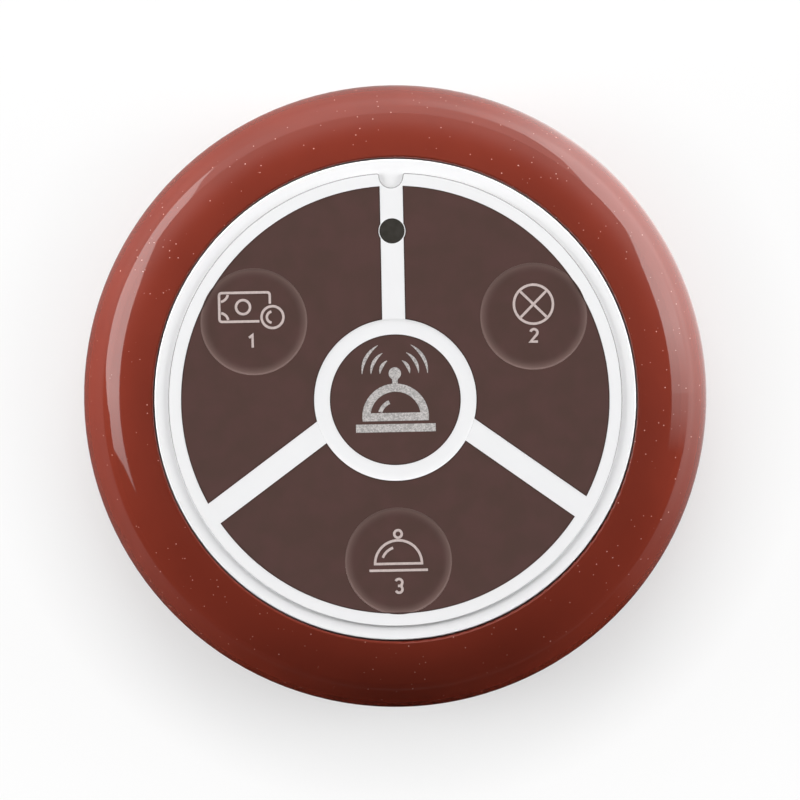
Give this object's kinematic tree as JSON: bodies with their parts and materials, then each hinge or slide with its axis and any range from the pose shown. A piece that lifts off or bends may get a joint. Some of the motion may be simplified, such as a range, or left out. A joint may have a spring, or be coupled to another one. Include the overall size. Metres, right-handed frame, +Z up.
{
  "type": "waiter call button",
  "caption": "Round tabletop radio call button with a glossy outer ring, a flat printed face with embossed press zones, an indicator window and a sliding battery door.",
  "frame": {"origin": "centre of the footprint at table level", "axes": "+Z up out of the face, +Y from the centre towards the indicator window and the film's notch at 12 o'clock"},
  "size_m": [0.08, 0.08, 0.0191],
  "materials": {
    "ring_plastic": "glossy moulded plastic with fine glitter",
    "white_plastic": "satin moulded plastic",
    "printed_film": "satin printed film",
    "window_tint": "dark tinted window",
    "printed_key": "satin printed film, embossed",
    "stem_plastic": "matte moulded plastic",
    "switch_steel": "stamped tinned steel",
    "board_laminate": "solder mask over glass laminate",
    "led_lens": "clear epoxy",
    "chip_epoxy": "moulded epoxy",
    "can_steel": "nickel-plated can",
    "antenna_copper": "enamelled copper wire",
    "capacitor_ceramic": "fired ceramic",
    "battery_sleeve": "satin metallic sleeve",
    "contact_steel": "nickel-plated spring steel",
    "base_plastic": "finely textured moulded plastic",
    "foot_rubber": "matte rubber",
    "screw_steel": "zinc-plated steel"
  },
  "bodies": {
    "case": {"outer_ring": "ring_plastic", "face_frame": "white_plastic", "overlay_film": "printed_film", "light_window": "window_tint", "call_switch": "switch_steel", "pay_switch": "switch_steel", "cancel_switch": "switch_steel", "order_switch": "switch_steel", "circuit_board": "board_laminate", "status_led": "led_lens", "encoder_chip": "chip_epoxy", "radio_transistor": "chip_epoxy", "radio_resonator": "can_steel", "antenna_wire": "antenna_copper", "resistors": "chip_epoxy", "capacitors": "capacitor_ceramic", "battery": "battery_sleeve", "battery_spring": "contact_steel", "battery_plate": "contact_steel", "base_cover": "base_plastic", "rubber_feet": "foot_rubber", "case_screws": "screw_steel", "board_screws": "screw_steel"},
    "call": {"call_key": "printed_key", "call_stem": "stem_plastic"},
    "pay": {"pay_key": "printed_key", "pay_stem": "stem_plastic"},
    "cancel": {"cancel_key": "printed_key", "cancel_stem": "stem_plastic"},
    "order": {"order_key": "printed_key", "order_stem": "stem_plastic"},
    "door": {"battery_door": "base_plastic"}
  },
  "joints": [
    {"name": "call_press", "type": "slide", "parent": "case", "child": "call", "axis": [0, 0, -1], "range_m": [0, 0.0003], "stiffness_N_per_m": 6000},
    {"name": "pay_press", "type": "slide", "parent": "case", "child": "pay", "axis": [0, 0, -1], "range_m": [0, 0.0003], "stiffness_N_per_m": 6000},
    {"name": "cancel_press", "type": "slide", "parent": "case", "child": "cancel", "axis": [0, 0, -1], "range_m": [0, 0.0003], "stiffness_N_per_m": 6000},
    {"name": "order_press", "type": "slide", "parent": "case", "child": "order", "axis": [0, 0, -1], "range_m": [0, 0.0003], "stiffness_N_per_m": 6000},
    {"name": "door_slide", "type": "slide", "parent": "case", "child": "door", "axis": [0, -1, 0], "range_m": [0, 0.02]}
  ]
}
